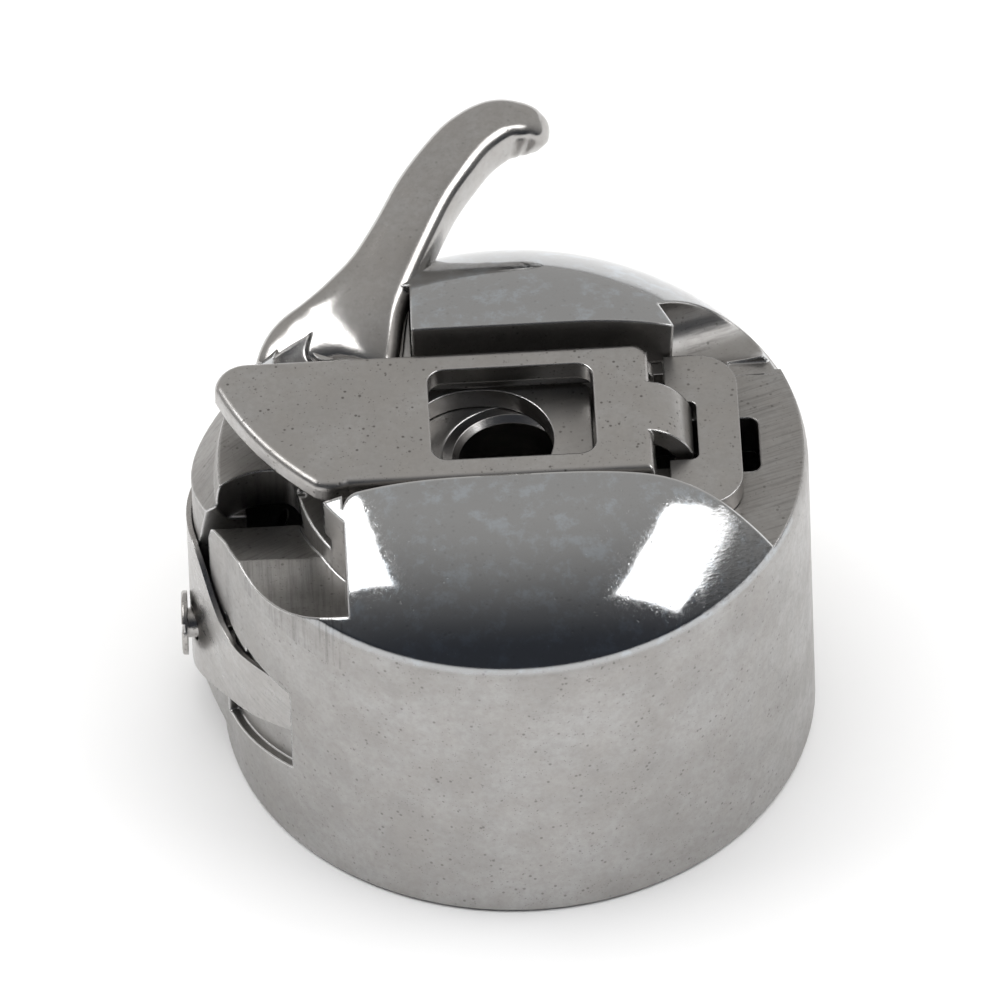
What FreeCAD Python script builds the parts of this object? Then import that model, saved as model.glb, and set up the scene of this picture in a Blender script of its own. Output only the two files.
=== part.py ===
import FreeCAD, Part
import math
import os

# Bobbin case of the front-loading rotary kind, in millimetres.
# Origin: on the stud's axis in the plane of the open mouth. +Z runs from the mouth to
# the closed face, +X along the latch towards its hinged end, +Y towards the finger.

V = FreeCAD.Vector
X_AXIS, Y_AXIS, Z_AXIS = V(1, 0, 0), V(0, 1, 0), V(0, 0, 1)
ORIGIN = V(0, 0, 0)

# ---------------------------------------------------------------- driving dimensions
BOBBIN_RADIUS = 10.25            # the bobbin that the case holds
BOBBIN_HEIGHT = 11.7
BOBBIN_BORE_RADIUS = 3.0
BOBBIN_SIDE_CLEARANCE = 0.45
BOBBIN_END_CLEARANCE = 0.3
BOBBIN_BORE_CLEARANCE = 0.1

WALL = 1.2                       # side wall of the drawn steel cup
FACE = 2.0                       # closed face, from the cavity's ceiling to the channel floor
LIP_RADIUS = 0.25                # rounding of the mouth's edge
SHOULDER_DROP = 0.75             # height of the rounding under the channel floor
SHOULDER_SETBACK = 0.18          # how far that rounding leads in
SHOULDER_TOP = 0.05              # it ends this far above the channel floor

LAND_RISE = 3.4                  # front land, above the channel floor
LAND_ARC = 10.0                  # crown radius of the front land
REAR_LAND_RISE = 3.2
REAR_LAND_ARC = 8.0
REAR_SHOULDER_DROP = 0.63        # how far below the channel floor that crown meets the wall
LAND_CORNER_RADIUS = 0.6         # upright corner at the left end of the front land

CHANNEL_FLARE_START = 5.1        # the channel's front side bends outwards from here
CHANNEL_FLARE_END = 8.6
CHANNEL_FLARE = 0.75             # how far it has bent by there

STUD_BORE_RADIUS = 2.1           # fits the hook's centre post
STUD_COUNTERSINK = 0.25
STUD_NECK_STEP = 0.15

SLIDE_HALF_WIDTH = 4.15
SLIDE_FLANGE = 0.38              # flange that runs in the side grooves
SLIDE_BASE = 0.48                # thickness of the flanged base
SLIDE_THICKNESS = 0.95           # full thickness at the boss and the head
SLIDE_SIDE_CLEARANCE = 0.1
SLIDE_UNDER_CLEARANCE = 0.05
SLIDE_TRAVEL = 1.5
SLIDE_RIGHT_END = 9.2
SLIDE_LEFT_END = -6.6
SLIDE_CORNER_RADIUS = 1.7
SLIDE_HOLE_RADIUS = 2.8
SLIDE_HOLE_OFFSET = -1.05
SLIDE_HOLE_STRETCH = 0.4         # the hole is this much longer than wide
GROOVE_END_GAP = 0.35            # beyond the flanges at full travel
HEEL_SLOT_LEFT_GAP = 0.45        # from the boss to the heel's slot in the slide
HEEL_SLOT_CORNER_RADIUS = 0.3
BOSS_RIGHT_END = 3.3
BOSS_INSET = 1.2                 # from the slide's side to the boss's side
BOSS_CORNER_RADIUS = 0.5
HEAD_LEFT_END = 6.3
HEEL_SLOT_HALF_WIDTH = 1.6
HEEL_SLOT_RIGHT_END = 7.5

LEVER_THICKNESS = 0.85
LEVER_GAP = 0.75                 # between the slide's top and the lever's underside
LEVER_SIDE_GAP = 0.75            # from the lever's side to the channel's side
LEVER_RIGHT_END = 5.65
LEVER_LEFT_END = -11.7
LEVER_FLANGE_DEPTH = 0.62        # bent-down sides, below the plate's underside
LEVER_FLANGE_WALL = 0.7
LEVER_FLANGE_LEFT = -6.0
LEVER_CORNER = 0.7
LEVER_EYE_WALL = 0.12            # how far the flanges' eyes stand out past the slide's lugs
GRIP_REAR_X = -10.4              # the grip's rear corner starts to round here
GRIP_TIP_Y = 2.1
GRIP_FRONT_X = -7.95             # its slanted front runs from here to the tip
GRIP_SIDE_X = -6.6
LEVER_EDGE_ROUND = 0.33
LEVER_ANGLE = 60.0               # full lift
WINDOW_LEFT, WINDOW_RIGHT = -3.2, 3.42
WINDOW_INSET = 1.0               # from the lever's side to the window's side
WINDOW_CORNER = 0.7
HEEL_SLOT_CLEARANCE = 0.25       # on each side, in the slide's slot
HEEL_THICKNESS = 0.75
HEEL_REACH = 7.3                 # furthest X of the curled heel at rest
HEEL_DEPTH = 0.6                 # how far the heel dips below the channel floor
HEEL_SIDE_CLEARANCE = 0.15
HEEL_ROOT = 0.6                  # overlap with the lever's plate
HEEL_KNEE_DROP = 1.75            # below the lever's top, where the curl has turned down
HEEL_CURL = 0.68                 # fullness of the curl between its two ends
HEEL_TAPER = 0.1
HEEL_SLOT_CORNER = 0.4
HEEL_SLOT_FLOOR_END = 9.95       # right end of the slot in the channel floor

PIN_X = 5.1
PIN_RADIUS = 0.4
PIN_CLEARANCE = 0.03
LUG_RADIUS = 0.66
LUG_GAP = 0.12                   # between the lugs and the lever's flanges
LUG_ROOM = 0.5                   # clear of the lugs, for the lever's eyes to turn in
PIN_INSET = 0.05                 # the pin's ends lie below the lever's sides

SPRING_AXIS_INSET = 1.6          # from the channel's side into the front land
SPRING_AXIS_RISE = 1.35          # above the channel floor
SPRING_POCKET_RADIUS = 0.95
SPRING_WIRE_RADIUS = 0.15
SPRING_COIL_RADIUS = 0.66        # to the wire's centre
SPRING_TURNS = 9
SPRING_POCKET_END = 3.2
EAR_LEFT = -4.4
EAR_THICKNESS = 0.6
EAR_CLEARANCE = 0.15
EAR_HALF_WIDTH = 0.5
EAR_RISE = 0.35                  # above the spring's axis
EAR_WINDOW_GAP = 0.1             # around the ear in its window
SPRING_END_GAP = 0.02
PLUNGER_HEAD = 0.3
PLUNGER_STEM_RADIUS = 0.38
PLUNGER_STEM_LENGTH = 2.2

PAD_RISE = 1.05                  # swelling of the left wall that the screws are tapped into
PAD_ANGLE = 170.0                # azimuth of its crest
PAD_HALF_ANGLE = 27.0
PAD_BOTTOM = 1.3
PAD_TOP_DROP = 0.8               # below the channel floor
PAD_SLOPE = 1.3
PAD_OVERLAP = 0.08               # into the wall
LEAF_THICKNESS = 0.22
LEAF_GAP = 0.04
LEAF_BOTTOM = 2.2
LEAF_TOP_DROP = 4.0              # of its upper edge, below the channel floor
LEAF_WAIST_DROP = 6.3            # of that edge where it bends into the wall
LEAF_TIP_DROP = 5.45
LEAF_TIP_Y = -7.3                # its upper edge is level beyond this
LEAF_END_ANGLE = 217.8           # azimuth of the free end
LEAF_ROOT_ANGLE = 141.0          # azimuth of the screwed end
LEAF_SEAT_ANGLE = 192.0          # the free end beyond this lies in a recess
LEAF_END_FLAT = 2.0              # the last degrees lie at the recess's full depth
LEAF_RISE = 3.1                  # climb of its lower edge to the free end
RECESS_DEPTH = 0.36
RECESS_SIDE_GAP = 0.12
RECESS_BELOW_TIP = 1.15          # how far it reaches below the leaf's free end
THREAD_EYE_ARC = 5.4             # width of the thread's way out, in degrees
THREAD_EYE_HEIGHT = 1.5
ADJUSTER_ANGLE, ADJUSTER_Z = 178.2, 4.9
FIXING_ANGLE, FIXING_Z = 150.0, 5.2
ADJUSTER_HEAD_RADIUS = 1.3
FIXING_HEAD_RADIUS = 1.15
SCREW_HEAD = 0.24
SCREW_SHANK_RADIUS = 0.6
SCREW_HOLE_CLEARANCE = 0.12      # in the leaf
THREAD_CLEARANCE = 0.03          # the adjusting screw turns in the wall
LEAF_LIFT = 0.1                  # room under the screw heads for the leaf to flex
SCREW_SLOT_WIDTH = 0.32
SCREW_SLOT_DEPTH = 0.14
SCREW_SLOT_TURN = 35.0

NOTCH_RIGHT = -6.85              # left end face of the front land
NOTCH_SCOOP_RADIUS = 5.0
NOTCH_SCOOP_Y = -5.2             # lowest line of the scoop
NOTCH_CREASE_Y = -4.1            # where the scoop meets the ramp
NOTCH_MOUTH_Y = -0.84            # where the ramp breaks through the face
NOTCH_DEPTH = 1.1                # of the scoop, below the channel floor
NOTCH_REACH = 3.28               # how far in from the rim it opens
PRONG_OVERHANG = 0.2             # the slit beside the prong starts this far above the floor
SLIT_FOOT_DROP = 0.7             # its foot, below the leaf's waist

RIM_SCOOP_RADIUS = 1.55          # cutter run-out at the right end of the rear land
RIM_SCOOP_X = 6.6
RIM_SCOOP_RISE = 1.45
RIM_FACET_X = 8.9
RIM_FACET_DEPTH = 0.15

FINGER_RISE = 2.95               # of the finger's highest centre line, above the floor
FINGER_REACH = 3.8               # of its tip, past the case's rim
FINGER_SECTION_POWER = 3.2       # squareness of its rounded section
FOOT_HEIGHT = 2.4                # of the finger's foot, above the channel floor
FOOT_TOP_AT_CHANNEL = 0.75       # its top slopes down to this beside the channel
FOOT_SLOPE = 0.42                # rise of that slope for each millimetre outwards
FOOT_SEAT_CLEARANCE = 0.02
RIVET_RADIUS = 0.6
RIVET_HEAD_RADIUS = 0.85
RIVET_HEAD = 0.25
RIVET_INSET = 1.35               # from the channel's side
RIVET_REACH = 0.9                # into the finger's foot
RIVET_X = (-5.1, -7.1)

# ---------------------------------------------------------------- sizes that follow
CAVITY_RADIUS = BOBBIN_RADIUS + BOBBIN_SIDE_CLEARANCE
CASE_RADIUS = CAVITY_RADIUS + WALL
CEILING = BOBBIN_HEIGHT + BOBBIN_END_CLEARANCE
FLOOR = CEILING + FACE
SHOULDER_RADIUS = CASE_RADIUS - SHOULDER_SETBACK
STUD_RADIUS = BOBBIN_BORE_RADIUS - BOBBIN_BORE_CLEARANCE
STUD_NECK_RADIUS = STUD_RADIUS - STUD_NECK_STEP
CHANNEL_HALF = SLIDE_HALF_WIDTH + SLIDE_SIDE_CLEARANCE
GROOVE_HALF = SLIDE_HALF_WIDTH + SLIDE_FLANGE + SLIDE_SIDE_CLEARANCE
BOSS_HALF_WIDTH = SLIDE_HALF_WIDTH - BOSS_INSET
LEVER_HALF_WIDTH = CHANNEL_HALF - LEVER_SIDE_GAP
WINDOW_HALF_WIDTH = LEVER_HALF_WIDTH - WINDOW_INSET
HEEL_HALF_WIDTH = HEEL_SLOT_HALF_WIDTH - HEEL_SLOT_CLEARANCE
SPRING_AXIS_Y = -CHANNEL_HALF - SPRING_AXIS_INSET
SLIDE_BOTTOM = FLOOR + SLIDE_UNDER_CLEARANCE
BASE_TOP = SLIDE_BOTTOM + SLIDE_BASE
SLIDE_TOP = SLIDE_BOTTOM + SLIDE_THICKNESS
LEVER_BOTTOM = SLIDE_TOP + LEVER_GAP
LEVER_TOP = LEVER_BOTTOM + LEVER_THICKNESS
PIN_Z = SLIDE_TOP
FLANGE_INNER = LEVER_HALF_WIDTH - LEVER_FLANGE_WALL
LUG_OUTER = FLANGE_INNER - LUG_GAP
LAND_TOP = FLOOR + LAND_RISE
REAR_LAND_TOP = FLOOR + REAR_LAND_RISE
REAR_CROWN_Z = REAR_LAND_TOP - REAR_LAND_ARC
REAR_CORNER_Z = FLOOR - REAR_SHOULDER_DROP
SPRING_AXIS_Z = FLOOR + SPRING_AXIS_RISE
PAD_TOP = FLOOR - PAD_TOP_DROP
LEAF_TOP = FLOOR - LEAF_TOP_DROP
LEAF_WAIST = FLOOR - LEAF_WAIST_DROP
LEAF_TIP_TOP = FLOOR - LEAF_TIP_DROP
FAR = 3 * CASE_RADIUS            # reaches past the whole case
EPS = 0.02                       # lets a cutter pass a face, never part of a size


# ---------------------------------------------------------------- helpers
def block(x0, x1, y0, y1, z0, z1):
    return Part.makeBox(x1 - x0, y1 - y0, z1 - z0, V(x0, y0, z0))


def rounded_block(x0, x1, y0, y1, z0, z1, radius, corners=((0, 0), (0, 1), (1, 0), (1, 1))):
    """A block whose upright edges are rounded at the named (x side, y side) corners."""
    body = block(x0, x1, y0, y1, z0, z1)
    wanted = [(x1 if cx else x0, y1 if cy else y0) for cx, cy in corners]
    edges = []
    for edge in body.Edges:
        a, b = edge.Vertexes[0].Point, edge.Vertexes[1].Point
        upright = abs(a.x - b.x) < 1e-6 and abs(a.y - b.y) < 1e-6
        if upright and any(abs(a.x - x) < 1e-6 and abs(a.y - y) < 1e-6 for x, y in wanted):
            edges.append(edge)
    return body.makeFillet(radius, edges)


def rod(radius, start, end):
    """A cylinder from one point to another."""
    return Part.makeCylinder(radius, (end - start).Length, start, end - start)


def arc(a, b, c):
    return Part.Arc(a, b, c).toShape()


def line(a, b):
    return Part.LineSegment(a, b).toShape()


def face_of(edges):
    return Part.Face(Part.Wire(edges))


def polygon(points):
    return Part.Face(Part.makePolygon(points + [points[0]]))


def prism_z(points, z0, z1):
    return polygon([V(x, y, z0) for x, y in points]).extrude(V(0, 0, z1 - z0))


def polar(radius, degrees, z=0.0):
    angle = math.radians(degrees)
    return V(radius * math.cos(angle), radius * math.sin(angle), z)


def polar_yz(x, y, z, radius, degrees):
    """A point on a circle about an axis along X through y, z."""
    angle = math.radians(degrees)
    return V(x, y + radius * math.cos(angle), z + radius * math.sin(angle))


def ring_sector(inner, outer, start_deg, end_deg, z0, z1):
    """Part of a tube between two azimuths."""
    middle = (start_deg + end_deg) / 2
    edges = [
        arc(polar(outer, start_deg, z0), polar(outer, middle, z0), polar(outer, end_deg, z0)),
        line(polar(outer, end_deg, z0), polar(inner, end_deg, z0)),
        arc(polar(inner, end_deg, z0), polar(inner, middle, z0), polar(inner, start_deg, z0)),
        line(polar(inner, start_deg, z0), polar(outer, start_deg, z0)),
    ]
    return face_of(edges).extrude(V(0, 0, z1 - z0))


def crown_point(centre_x, centre_z, radius, x):
    """Point of a crown arc at distance x from the axis."""
    return V(x, 0, centre_z + math.sqrt(radius ** 2 - (x - centre_x) ** 2))


def crown_centre(top, radius, x, z):
    """Distance from the axis of the centre of an arc that is level at top and meets x, z."""
    drop = radius - (top - z)
    return x - math.sqrt(radius ** 2 - drop ** 2)


# ---------------------------------------------------------------- case body
def front_profile():
    """Half section of the turned outside where the front land stands."""
    lip = LIP_RADIUS
    shoulder = V(SHOULDER_RADIUS, 0, FLOOR + SHOULDER_TOP)
    wall_top = V(CASE_RADIUS, 0, FLOOR - SHOULDER_DROP)
    shoulder_mid = V(CASE_RADIUS - SHOULDER_SETBACK / 4, 0, FLOOR - SHOULDER_DROP / 2 + SHOULDER_TOP / 2)
    centre = crown_centre(LAND_TOP, LAND_ARC, shoulder.x, shoulder.z)
    crown_z = LAND_TOP - LAND_ARC
    top = V(centre, 0, LAND_TOP)
    mid = crown_point(centre, crown_z, LAND_ARC, (centre + shoulder.x) / 2)
    lip_mid = lip * (1 - math.sqrt(0.5))
    return face_of([
        line(ORIGIN, V(CASE_RADIUS - lip, 0, 0)),
        arc(V(CASE_RADIUS - lip, 0, 0), V(CASE_RADIUS - lip_mid, 0, lip_mid),
            V(CASE_RADIUS, 0, lip)),
        line(V(CASE_RADIUS, 0, lip), wall_top),
        arc(wall_top, shoulder_mid, shoulder),
        arc(shoulder, mid, top),
        line(top, V(0, 0, LAND_TOP)),
        line(V(0, 0, LAND_TOP), ORIGIN),
    ])


def rear_profile():
    """Half section of the turned outside where the rear land stands."""
    lip = LIP_RADIUS
    centre = crown_centre(REAR_LAND_TOP, REAR_LAND_ARC, CASE_RADIUS, REAR_CORNER_Z)
    corner = V(CASE_RADIUS, 0, REAR_CORNER_Z)
    mid = crown_point(centre, REAR_CROWN_Z, REAR_LAND_ARC, (centre + CASE_RADIUS) / 2)
    top = V(centre, 0, REAR_LAND_TOP)
    lip_mid = lip * (1 - math.sqrt(0.5))
    return face_of([
        line(ORIGIN, V(CASE_RADIUS - lip, 0, 0)),
        arc(V(CASE_RADIUS - lip, 0, 0), V(CASE_RADIUS - lip_mid, 0, lip_mid),
            V(CASE_RADIUS, 0, lip)),
        line(V(CASE_RADIUS, 0, lip), corner),
        arc(corner, mid, top),
        line(top, V(0, 0, REAR_LAND_TOP)),
        line(V(0, 0, REAR_LAND_TOP), ORIGIN),
    ])


def outer_form():
    """The turned outside: the rear land's crown is rounder than the front land's."""
    front = front_profile().revolve(ORIGIN, Z_AXIS, 360)
    rear = rear_profile().revolve(ORIGIN, Z_AXIS, 360)
    split = CHANNEL_HALF
    front = front.common(block(-FAR, FAR, -FAR, split, -1, FAR))
    rear = rear.common(block(-FAR, FAR, split, FAR, -1, FAR))
    return front.fuse(rear)


def pad_rise(degrees):
    """Height of the screw pad's swelling above the wall at an azimuth."""
    offset = (degrees - PAD_ANGLE) / PAD_HALF_ANGLE
    return PAD_RISE * math.cos(offset * math.pi / 2) ** 2 if abs(offset) < 1 else 0.0


def polar_curve(radius_at, start_deg, end_deg, z, count=25):
    """Smooth curve through points whose distance from the axis depends on azimuth."""
    step = (end_deg - start_deg) / (count - 1)
    angles = [start_deg + i * step for i in range(count)]
    curve = Part.BSplineCurve()
    curve.interpolate([polar(radius_at(a), a, z) for a in angles])
    return curve.toShape()


def screw_pad():
    """Swelling of the left wall, faded out at its top and bottom."""
    start, end = PAD_ANGLE - PAD_HALF_ANGLE, PAD_ANGLE + PAD_HALF_ANGLE
    inner = CAVITY_RADIUS + WALL / 4
    foot = CASE_RADIUS - PAD_OVERLAP
    swell = 1 + PAD_OVERLAP / PAD_RISE
    outer_edge = polar_curve(lambda a: foot + pad_rise(a) * swell, start, end, PAD_BOTTOM)
    inner_edge = arc(polar(inner, end, PAD_BOTTOM), polar(inner, PAD_ANGLE, PAD_BOTTOM),
                     polar(inner, start, PAD_BOTTOM))
    pad = face_of([
        outer_edge, line(polar(foot, end, PAD_BOTTOM), polar(inner, end, PAD_BOTTOM)),
        inner_edge, line(polar(inner, start, PAD_BOTTOM), polar(foot, start, PAD_BOTTOM)),
    ]).extrude(V(0, 0, PAD_TOP - PAD_BOTTOM))
    crest = CASE_RADIUS + PAD_RISE + 0.1
    low, high = PAD_BOTTOM, PAD_TOP
    envelope = Part.Face(Part.makePolygon([
        V(0, 0, low), V(foot, 0, low), V(crest, 0, low + PAD_SLOPE),
        V(crest, 0, high - PAD_SLOPE), V(foot, 0, high), V(0, 0, high), V(0, 0, low),
    ])).revolve(ORIGIN, Z_AXIS, 360)
    return pad.common(envelope)


def channel_cut():
    """Channel across the closed face; its front side bends outwards near the right rim."""
    side = -CHANNEL_HALF
    run = CHANNEL_FLARE_END - CHANNEL_FLARE_START
    radius = (run ** 2 + CHANNEL_FLARE ** 2) / (2 * CHANNEL_FLARE)
    half_turn = math.asin(run / radius) / 2
    start = V(CHANNEL_FLARE_START, side, FLOOR)
    middle = start + V(radius * math.sin(half_turn), radius * (math.cos(half_turn) - 1), 0)
    end = start + V(run, -CHANNEL_FLARE, 0)
    ahead = end + V(math.cos(2 * half_turn), -math.sin(2 * half_turn), 0) * FAR
    left_front, left_rear = V(-FAR, side, FLOOR), V(-FAR, CHANNEL_HALF, FLOOR)
    right_rear = V(2 * FAR, CHANNEL_HALF, FLOOR)
    outline = [
        line(left_front, start), arc(start, middle, end), line(end, ahead),
        line(ahead, right_rear), line(right_rear, left_rear), line(left_rear, left_front),
    ]
    return face_of(outline).extrude(V(0, 0, FAR))


def land_corner_cut():
    """Rounds the upright corner between the front land's left end and the channel."""
    r = LAND_CORNER_RADIUS
    x, y = NOTCH_RIGHT, -CHANNEL_HALF
    corner = block(x - EPS, x + r, y - r, y + EPS, FLOOR, FAR)
    return corner.cut(rod(r, V(x + r, y - r, 0), V(x + r, y - r, FAR)))


def groove_cut():
    """Undercut in both sides of the channel that holds the slide's flanges down."""
    right_end = HEAD_LEFT_END + SLIDE_TRAVEL + GROOVE_END_GAP
    top = BASE_TOP + SLIDE_UNDER_CLEARANCE
    return block(-FAR, right_end, -GROOVE_HALF, GROOVE_HALF, FLOOR, top)


def notch_cut():
    """Milled thread notch beside the left end of the front land, open into the case."""
    rim = -CASE_RADIUS
    deep = rim + NOTCH_REACH
    inner = V(deep, -1.3, 0)
    arch = V(deep - 0.38, -0.15, 0)
    prong = V(rim - 0.3, -1.4, 0)
    outline = [
        line(V(-FAR, -FAR, 0), V(NOTCH_RIGHT, -FAR, 0)),
        line(V(NOTCH_RIGHT, -FAR, 0), V(NOTCH_RIGHT, -5.4, 0)),
        arc(V(NOTCH_RIGHT, -5.4, 0), V(deep + 0.72, -3.75, 0), inner),
        arc(inner, V(deep - 0.03, -0.5, 0), arch),
        arc(arch, V(rim + 1.25, -0.25, 0), prong),
        line(prong, V(-FAR, -1.6, 0)),
        line(V(-FAR, -1.6, 0), V(-FAR, -FAR, 0)),
    ]
    radius = NOTCH_SCOOP_RADIUS
    axis_z = FLOOR - NOTCH_DEPTH + radius
    crease_turn = math.degrees(math.asin((NOTCH_CREASE_Y - NOTCH_SCOOP_Y) / radius))
    left = polar_yz(-FAR, NOTCH_SCOOP_Y, axis_z, radius, 180)
    bottom = polar_yz(-FAR, NOTCH_SCOOP_Y, axis_z, radius, -90)
    crease = polar_yz(-FAR, NOTCH_SCOOP_Y, axis_z, radius, crease_turn - 90)
    ramp_end = V(-FAR, NOTCH_MOUTH_Y, CEILING - EPS)
    far_end = V(-FAR, CHANNEL_HALF, CEILING - EPS)
    section = face_of([
        arc(left, polar_yz(-FAR, NOTCH_SCOOP_Y, axis_z, radius, -135), bottom),
        arc(bottom, polar_yz(-FAR, NOTCH_SCOOP_Y, axis_z, radius, crease_turn / 2 - 90), crease),
        line(crease, ramp_end),
        line(ramp_end, far_end),
        line(far_end, V(-FAR, far_end.y, FAR)),
        line(V(-FAR, far_end.y, FAR), V(-FAR, left.y, FAR)),
        line(V(-FAR, left.y, FAR), left),
    ])
    return section.extrude(V(FAR, 0, 0)).common(face_of(outline).extrude(V(0, 0, FAR)))


def slit_cut():
    """Thread slit: down beside the prong from the notch, then along under the leaf."""
    top, low = FLOOR + PRONG_OVERHANG, LEAF_WAIST - SLIT_FOOT_DROP
    side = [
        (-1.5, top), (-0.85, top - 1.7), (-0.35, top - 3.2), (0.0, top - 4.4), (0.0, low),
        (-2.9, low), (-4.6, low + 0.6), (-6.2, low + 0.7), (-6.2, low + 1.25), (-4.75, low + 1.25),
        (-3.3, low + 0.6), (-2.3, low + 0.3), (-1.35, low + 0.4), (-1.05, low + 0.9),
        (-1.05, top - 2.9), (-1.3, top - 2.2), (-1.75, top - 1.7), (-2.3, top - 1.3),
    ]
    face = polygon([V(-FAR, y, z) for y, z in side])
    return face.extrude(V(FAR - CAVITY_RADIUS + 2 * WALL, 0, 0))


def leaf_inner(degrees):
    """Distance from the axis to the leaf's inner face."""
    share = (degrees - LEAF_SEAT_ANGLE) / (LEAF_END_ANGLE - LEAF_END_FLAT - LEAF_SEAT_ANGLE)
    seat = RECESS_DEPTH * min(1.0, max(0.0, share))
    return CASE_RADIUS + LEAF_GAP + pad_rise(degrees) - seat


def leaf_band():
    """The whole leaf before its end is trimmed."""
    start, end = LEAF_ROOT_ANGLE, LEAF_END_ANGLE
    z = LEAF_BOTTOM
    outer = polar_curve(lambda a: leaf_inner(a) + LEAF_THICKNESS, start, end, z, 40)
    inner = polar_curve(leaf_inner, end, start, z, 40)
    root, tip = leaf_inner(start), leaf_inner(end)
    first = line(polar(root, start, z), polar(root + LEAF_THICKNESS, start, z))
    last = line(polar(tip + LEAF_THICKNESS, end, z), polar(tip, end, z))
    return face_of([first, outer, last, inner]).extrude(V(0, 0, LEAF_TOP - LEAF_BOTTOM))


def below_line(first_angle, first_z, second_angle, second_z):
    """Everything on the left wall below a straight line through two of its points."""
    middle = (LEAF_SEAT_ANGLE + LEAF_END_ANGLE) / 2
    s0 = CASE_RADIUS * math.sin(math.radians(first_angle - middle))
    s1 = CASE_RADIUS * math.sin(math.radians(second_angle - middle))
    slope = (second_z - first_z) / (s1 - s0)
    across = polar(1, middle + 90)
    start = polar(FAR, middle)
    low, high = -CASE_RADIUS, CASE_RADIUS
    return polygon([
        start + across * low + V(0, 0, -1), start + across * high + V(0, 0, -1),
        start + across * high + V(0, 0, first_z + slope * (high - s0)),
        start + across * low + V(0, 0, max(first_z + slope * (low - s0), -0.5)),
    ]).extrude(polar(-FAR, middle))


def leaf_lower_line(drop):
    """Below the leaf's lower edge where it climbs towards the free end."""
    low = LEAF_BOTTOM + 0.7 - drop
    return below_line(LEAF_SEAT_ANGLE + 6, low, LEAF_END_ANGLE, LEAF_BOTTOM + LEAF_RISE - drop)


def recess_cut():
    """Recess that the leaf's free end lies in; it reaches below the end, where the thread leaves."""
    inner, outer = CASE_RADIUS - RECESS_DEPTH - EPS, CASE_RADIUS + 1
    end = LEAF_END_ANGLE + 0.5
    band = ring_sector(inner, outer, LEAF_SEAT_ANGLE - 1, end, 0, LEAF_WAIST + 0.6)
    tip_low = LEAF_BOTTOM + LEAF_RISE - RECESS_BELOW_TIP
    spared = below_line(LEAF_SEAT_ANGLE + 6, LEAF_BOTTOM + 0.5, LEAF_END_ANGLE, tip_low)
    corner = ring_sector(inner, outer, end - 15.5, end, LEAF_WAIST, LEAF_TIP_TOP + 0.05)
    return band.cut(spared.common(leaf_lower_line(RECESS_SIDE_GAP))).fuse(corner)


def thread_eye_cut():
    """Opening under the leaf's free end where the thread leaves."""
    end = LEAF_END_ANGLE - 0.6
    top = LEAF_WAIST + 0.3
    return ring_sector(CAVITY_RADIUS - WALL / 2, CASE_RADIUS + 1, end - THREAD_EYE_ARC, end,
                       top - THREAD_EYE_HEIGHT, top)


def heel_slot_cut():
    """Slot in the channel floor for the lever's heel; its left end is the fulcrum."""
    half = HEEL_HALF_WIDTH + HEEL_SIDE_CLEARANCE
    left = heel_swing() - HEEL_SIDE_CLEARANCE
    return rounded_block(left, HEEL_SLOT_FLOOR_END, -half, half, CEILING - 1, FLOOR + 1,
                         HEEL_SLOT_CORNER)


def heel_swing():
    """Furthest left that the heel's tip reaches as the lever lifts and the slide moves."""
    arm_x = HEEL_REACH - HEEL_THICKNESS - PIN_X
    arm_z = FLOOR - HEEL_DEPTH - PIN_Z
    reached = []
    steps = 30
    for i in range(steps + 1):
        share = i / steps
        angle = math.radians(LEVER_ANGLE * share)
        reached.append(PIN_X + SLIDE_TRAVEL * share + arm_x * math.cos(angle) + arm_z * math.sin(angle))
    return min(reached)


def spring_pocket_cut():
    """Blind bore for the coil spring, open to the channel over the ear's travel."""
    y, z = SPRING_AXIS_Y, SPRING_AXIS_Z
    left = EAR_LEFT - EAR_CLEARANCE
    right = EAR_LEFT + EAR_THICKNESS + SLIDE_TRAVEL + EAR_CLEARANCE
    bore = rod(SPRING_POCKET_RADIUS, V(left, y, z), V(SPRING_POCKET_END, y, z))
    window = block(left, right, y - EAR_HALF_WIDTH - EAR_WINDOW_GAP, 0,
                   FLOOR, z + EAR_RISE + EAR_WINDOW_GAP)
    return bore.fuse(window)


def rim_scoop_cut():
    """Cutter run-out at the right end of the rear land."""
    start = V(RIM_SCOOP_X, CHANNEL_HALF + 0.3, FLOOR + RIM_SCOOP_RISE)
    scoop = rod(RIM_SCOOP_RADIUS, start, start + V(8, 3.0, -0.5))
    near, far = CHANNEL_HALF - 0.35, CHANNEL_HALF + 0.45
    facet = block(RIM_FACET_X, FAR, near, far, FLOOR - RIM_FACET_DEPTH, FLOOR + 2)
    return scoop.fuse(facet)


def finger_seat(extra=FOOT_SEAT_CLEARANCE):
    """Recess in the rear land that the position finger's foot is set in, open upwards."""
    near = CHANNEL_HALF
    points = [(-3.75 + extra, near), (-3.7 + extra, near + 3.05 + extra), (-6.9, near + 4.35 + extra),
              (-9.0 - extra, near + 2.35), (-9.3 - extra, near)]
    return prism_z(points, FLOOR - extra, FAR)


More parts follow.
